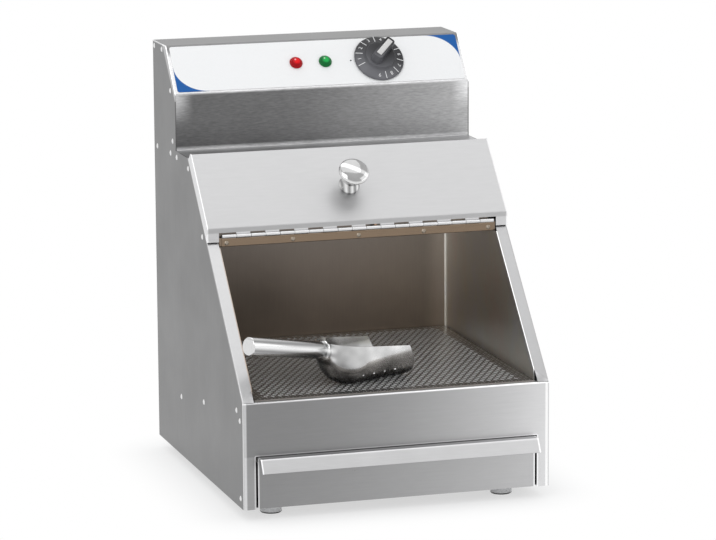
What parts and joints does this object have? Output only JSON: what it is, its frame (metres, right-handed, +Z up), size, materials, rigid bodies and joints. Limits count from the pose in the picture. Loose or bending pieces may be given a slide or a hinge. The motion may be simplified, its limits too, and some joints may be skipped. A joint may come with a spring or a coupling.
{
  "type": "chip warmer",
  "caption": "Free-standing stainless counter cabinet that keeps chips warm in an open sloping bin, with a folding lid, a lift-out perforated tray, a scoop, a crumb drawer and a dial.",
  "frame": {"origin": "middle of the whole part's box at the level of its feet", "axes": "+Z up, -Y towards the user in front of the slanted opening, +X to the user's right as they face the cabinet"},
  "size_m": [0.3624, 0.419, 0.4954],
  "materials": {
    "steel_brushed": "brushed stainless sheet",
    "steel_light": "light satin stainless sheet",
    "steel_inner": "satin stainless sheet",
    "fascia_steel": "satin plate with blue printed corners",
    "hinge_steel": "satin",
    "rivet_steel": "bright",
    "screw_steel": "bright",
    "element_sheath": "dark oxidised sheath",
    "reflector_steel": "bright",
    "thermostat_case": "case",
    "copper_bulb": "copper",
    "lens_red": "translucent red",
    "lens_green": "translucent green",
    "lamp_plastic": "moulded",
    "ceramic": "glazed white",
    "gland_plastic": "moulded",
    "foot_plastic": "moulded grey",
    "polished_metal": "polished",
    "knob_black": "black with a white scale",
    "insert_grey": "light grey",
    "scoop_steel": "polished stainless"
  },
  "bodies": {
    "cabinet": {"side_panel_left": "steel_brushed", "side_panel_right": "steel_brushed", "upper_shell": "steel_brushed", "control_fascia": "fascia_steel", "back_panel": "steel_brushed", "bottom_plate": "steel_brushed", "lower_front_panel": "steel_brushed", "ceiling_plate": "steel_inner", "bin_back_wall": "steel_inner", "inner_wall_left": "steel_inner", "inner_wall_right": "steel_inner", "wall_spacer_left": "steel_inner", "wall_spacer_right": "steel_inner", "tray_support_left": "steel_inner", "tray_support_right": "steel_inner", "drawer_runner_left": "steel_inner", "drawer_runner_right": "steel_inner", "hinge_rail": "steel_inner", "hinge_fixed_leaf": "hinge_steel", "hinge_pin": "hinge_steel", "hinge_rivets": "rivet_steel", "heating_element": "element_sheath", "element_clips": "steel_inner", "reflector": "reflector_steel", "thermostat_body": "thermostat_case", "thermostat_bulb": "copper_bulb", "bulb_clips": "steel_inner", "pilot_lens_red": "lens_red", "pilot_lens_green": "lens_green", "pilot_lamp_bodies": "lamp_plastic", "terminal_block": "ceramic", "cable_gland": "gland_plastic", "gland_nut": "gland_plastic", "feet": "foot_plastic", "foot_screws": "screw_steel", "side_rivets": "rivet_steel", "back_screws": "screw_steel"},
    "lid": {"lid_panel": "steel_light", "hinge_lid_leaf": "hinge_steel", "lid_knob": "polished_metal", "lid_knob_screw": "screw_steel"},
    "thermostat_knob": {"knob_dial": "knob_black", "knob_insert": "insert_grey", "thermostat_shaft": "screw_steel"},
    "drawer": {"drawer_front": "steel_brushed", "drawer_pan": "steel_inner"},
    "tray": {"perforated_tray": "steel_light"},
    "scoop": {"scoop_bowl": "scoop_steel", "scoop_collar": "scoop_steel", "scoop_handle": "scoop_steel"}
  },
  "joints": [
    {"name": "lid_hinge", "type": "hinge", "parent": "cabinet", "child": "lid", "pos_m": [0, -0.04785, 0.29809], "axis": [1, 0, 0], "range_deg": [0, 180]},
    {"name": "drawer_slide", "type": "slide", "parent": "cabinet", "child": "drawer", "axis": [0, -1, 0], "range_m": [0, 0.3]},
    {"name": "thermostat_knob_turn", "type": "hinge", "parent": "cabinet", "child": "thermostat_knob", "pos_m": [0.0747, 0.11308, 0.4699], "axis": [0, -0.7756, 0.6313], "range_deg": [-60, 210]},
    {"name": "tray_lift", "type": "slide", "parent": "cabinet", "child": "tray", "axis": [0, -0.866, 0.5], "range_m": [0, 0.15]},
    {"name": "scoop_lift", "type": "slide", "parent": "tray", "child": "scoop", "axis": [0, -0.866, 0.5], "range_m": [0, 0.15]}
  ]
}
